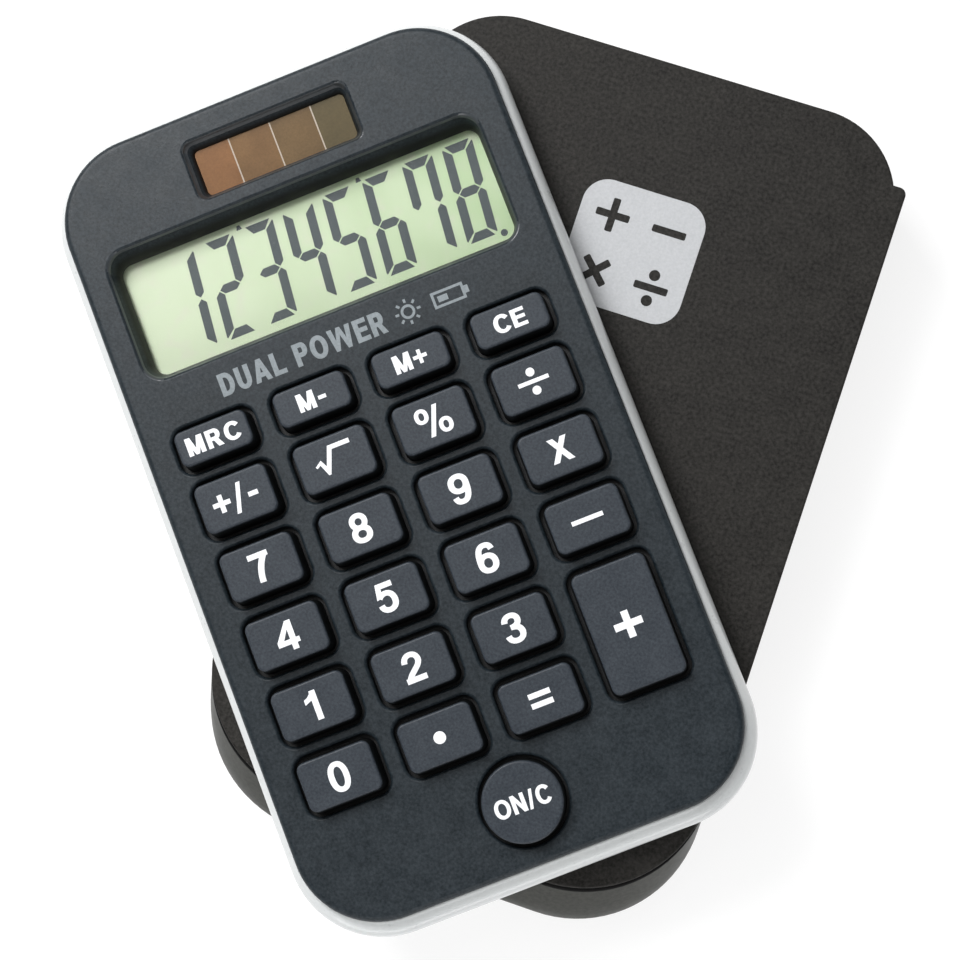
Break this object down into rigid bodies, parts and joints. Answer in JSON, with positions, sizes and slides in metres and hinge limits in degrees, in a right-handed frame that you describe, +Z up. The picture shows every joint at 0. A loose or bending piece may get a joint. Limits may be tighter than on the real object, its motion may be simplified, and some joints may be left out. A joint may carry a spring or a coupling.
{
  "type": "pocket calculator",
  "caption": "Solar and battery pocket calculator with rounded corners, a recessed display, sprung keys over a dome mat, and a slide-on hard case it lies across.",
  "frame": {"origin": "on the table, under the middle of the whole assembly's box", "axes": "+Z up out of the keypad; +Y along the slide-on case towards its open end; +X to the right, with the calculator turned 39.64 degrees anticlockwise on the case"},
  "size_m": [0.1088, 0.1209, 0.0257],
  "materials": {
    "case_plastic": "fine grained black hard plastic",
    "face_plastic": "fine grained slate plastic with a slight sheen",
    "shell_plastic": "smooth pale grey plastic",
    "key_plastic": "satin dark plastic with printed legends",
    "clear_plastic": "clear moulded plastic",
    "lcd_glass": "reflective green-grey display glass",
    "solar_glass": "amorphous silicon behind glass",
    "black_rubber": "soft",
    "grey_rubber": "silicone",
    "board_laminate": "laminate with solder mask",
    "black_epoxy": "cast",
    "capacitor_sleeve": "shrunk sleeve",
    "lead_insulation": "thin insulation",
    "cell_steel": "nickel plated can",
    "contact_brass": "sprung sheet",
    "screw_steel": "zinc plated"
  },
  "bodies": {
    "slide_case": {"slide_case": "case_plastic"},
    "calculator": {"upper_case": "face_plastic", "lower_case": "shell_plastic", "display_window": "clear_plastic", "lcd_panel": "lcd_glass", "zebra_connector": "black_rubber", "solar_cell": "solar_glass", "solar_leads": "lead_insulation", "circuit_board": "board_laminate", "chip_blob": "black_epoxy", "capacitor": "capacitor_sleeve", "resistors": "black_epoxy", "keypad_mat": "grey_rubber", "button_cell": "cell_steel", "battery_contact_positive": "contact_brass", "battery_contact_negative": "contact_brass", "board_screws": "screw_steel", "case_screws": "screw_steel"},
    "key_mrc": {"key_mrc": "key_plastic"},
    "key_m_minus": {"key_m_minus": "key_plastic"},
    "key_m_plus": {"key_m_plus": "key_plastic"},
    "key_ce": {"key_ce": "key_plastic"},
    "key_sign": {"key_sign": "key_plastic"},
    "key_root": {"key_root": "key_plastic"},
    "key_percent": {"key_percent": "key_plastic"},
    "key_divide": {"key_divide": "key_plastic"},
    "key_7": {"key_7": "key_plastic"},
    "key_8": {"key_8": "key_plastic"},
    "key_9": {"key_9": "key_plastic"},
    "key_times": {"key_times": "key_plastic"},
    "key_4": {"key_4": "key_plastic"},
    "key_5": {"key_5": "key_plastic"},
    "key_6": {"key_6": "key_plastic"},
    "key_minus": {"key_minus": "key_plastic"},
    "key_1": {"key_1": "key_plastic"},
    "key_2": {"key_2": "key_plastic"},
    "key_3": {"key_3": "key_plastic"},
    "key_plus": {"key_plus": "key_plastic"},
    "key_0": {"key_0": "key_plastic"},
    "key_point": {"key_point": "key_plastic"},
    "key_equals": {"key_equals": "key_plastic"},
    "key_on": {"key_on": "key_plastic"}
  },
  "joints": [
    {"name": "calculator_lift", "type": "slide", "parent": "slide_case", "child": "calculator", "axis": [0, 0, 1], "range_m": [0, 0.03]},
    {"name": "key_mrc_press", "type": "slide", "parent": "calculator", "child": "key_mrc", "axis": [0, 0, -1], "range_m": [0, 0.0008], "stiffness_N_per_m": 600, "springref_m": -0.0008},
    {"name": "key_m_minus_press", "type": "slide", "parent": "calculator", "child": "key_m_minus", "axis": [0, 0, -1], "range_m": [0, 0.0008], "stiffness_N_per_m": 600, "springref_m": -0.0008},
    {"name": "key_m_plus_press", "type": "slide", "parent": "calculator", "child": "key_m_plus", "axis": [0, 0, -1], "range_m": [0, 0.0008], "stiffness_N_per_m": 600, "springref_m": -0.0008},
    {"name": "key_ce_press", "type": "slide", "parent": "calculator", "child": "key_ce", "axis": [0, 0, -1], "range_m": [0, 0.0008], "stiffness_N_per_m": 600, "springref_m": -0.0008},
    {"name": "key_sign_press", "type": "slide", "parent": "calculator", "child": "key_sign", "axis": [0, 0, -1], "range_m": [0, 0.0008], "stiffness_N_per_m": 600, "springref_m": -0.0008},
    {"name": "key_root_press", "type": "slide", "parent": "calculator", "child": "key_root", "axis": [0, 0, -1], "range_m": [0, 0.0008], "stiffness_N_per_m": 600, "springref_m": -0.0008},
    {"name": "key_percent_press", "type": "slide", "parent": "calculator", "child": "key_percent", "axis": [0, 0, -1], "range_m": [0, 0.0008], "stiffness_N_per_m": 600, "springref_m": -0.0008},
    {"name": "key_divide_press", "type": "slide", "parent": "calculator", "child": "key_divide", "axis": [0, 0, -1], "range_m": [0, 0.0008], "stiffness_N_per_m": 600, "springref_m": -0.0008},
    {"name": "key_7_press", "type": "slide", "parent": "calculator", "child": "key_7", "axis": [0, 0, -1], "range_m": [0, 0.0008], "stiffness_N_per_m": 600, "springref_m": -0.0008},
    {"name": "key_8_press", "type": "slide", "parent": "calculator", "child": "key_8", "axis": [0, 0, -1], "range_m": [0, 0.0008], "stiffness_N_per_m": 600, "springref_m": -0.0008},
    {"name": "key_9_press", "type": "slide", "parent": "calculator", "child": "key_9", "axis": [0, 0, -1], "range_m": [0, 0.0008], "stiffness_N_per_m": 600, "springref_m": -0.0008},
    {"name": "key_times_press", "type": "slide", "parent": "calculator", "child": "key_times", "axis": [0, 0, -1], "range_m": [0, 0.0008], "stiffness_N_per_m": 600, "springref_m": -0.0008},
    {"name": "key_4_press", "type": "slide", "parent": "calculator", "child": "key_4", "axis": [0, 0, -1], "range_m": [0, 0.0008], "stiffness_N_per_m": 600, "springref_m": -0.0008},
    {"name": "key_5_press", "type": "slide", "parent": "calculator", "child": "key_5", "axis": [0, 0, -1], "range_m": [0, 0.0008], "stiffness_N_per_m": 600, "springref_m": -0.0008, "deforming": ["keypad_mat"]},
    {"name": "key_6_press", "type": "slide", "parent": "calculator", "child": "key_6", "axis": [0, 0, -1], "range_m": [0, 0.0008], "stiffness_N_per_m": 600, "springref_m": -0.0008},
    {"name": "key_minus_press", "type": "slide", "parent": "calculator", "child": "key_minus", "axis": [0, 0, -1], "range_m": [0, 0.0008], "stiffness_N_per_m": 600, "springref_m": -0.0008},
    {"name": "key_1_press", "type": "slide", "parent": "calculator", "child": "key_1", "axis": [0, 0, -1], "range_m": [0, 0.0008], "stiffness_N_per_m": 600, "springref_m": -0.0008},
    {"name": "key_2_press", "type": "slide", "parent": "calculator", "child": "key_2", "axis": [0, 0, -1], "range_m": [0, 0.0008], "stiffness_N_per_m": 600, "springref_m": -0.0008},
    {"name": "key_3_press", "type": "slide", "parent": "calculator", "child": "key_3", "axis": [0, 0, -1], "range_m": [0, 0.0008], "stiffness_N_per_m": 600, "springref_m": -0.0008},
    {"name": "key_plus_press", "type": "slide", "parent": "calculator", "child": "key_plus", "axis": [0, 0, -1], "range_m": [0, 0.0008], "stiffness_N_per_m": 600, "springref_m": -0.0008},
    {"name": "key_0_press", "type": "slide", "parent": "calculator", "child": "key_0", "axis": [0, 0, -1], "range_m": [0, 0.0008], "stiffness_N_per_m": 600, "springref_m": -0.0008},
    {"name": "key_point_press", "type": "slide", "parent": "calculator", "child": "key_point", "axis": [0, 0, -1], "range_m": [0, 0.0008], "stiffness_N_per_m": 600, "springref_m": -0.0008},
    {"name": "key_equals_press", "type": "slide", "parent": "calculator", "child": "key_equals", "axis": [0, 0, -1], "range_m": [0, 0.0008], "stiffness_N_per_m": 600, "springref_m": -0.0008},
    {"name": "key_on_press", "type": "slide", "parent": "calculator", "child": "key_on", "axis": [0, 0, -1], "range_m": [0, 0.0008], "stiffness_N_per_m": 600, "springref_m": -0.0008}
  ]
}
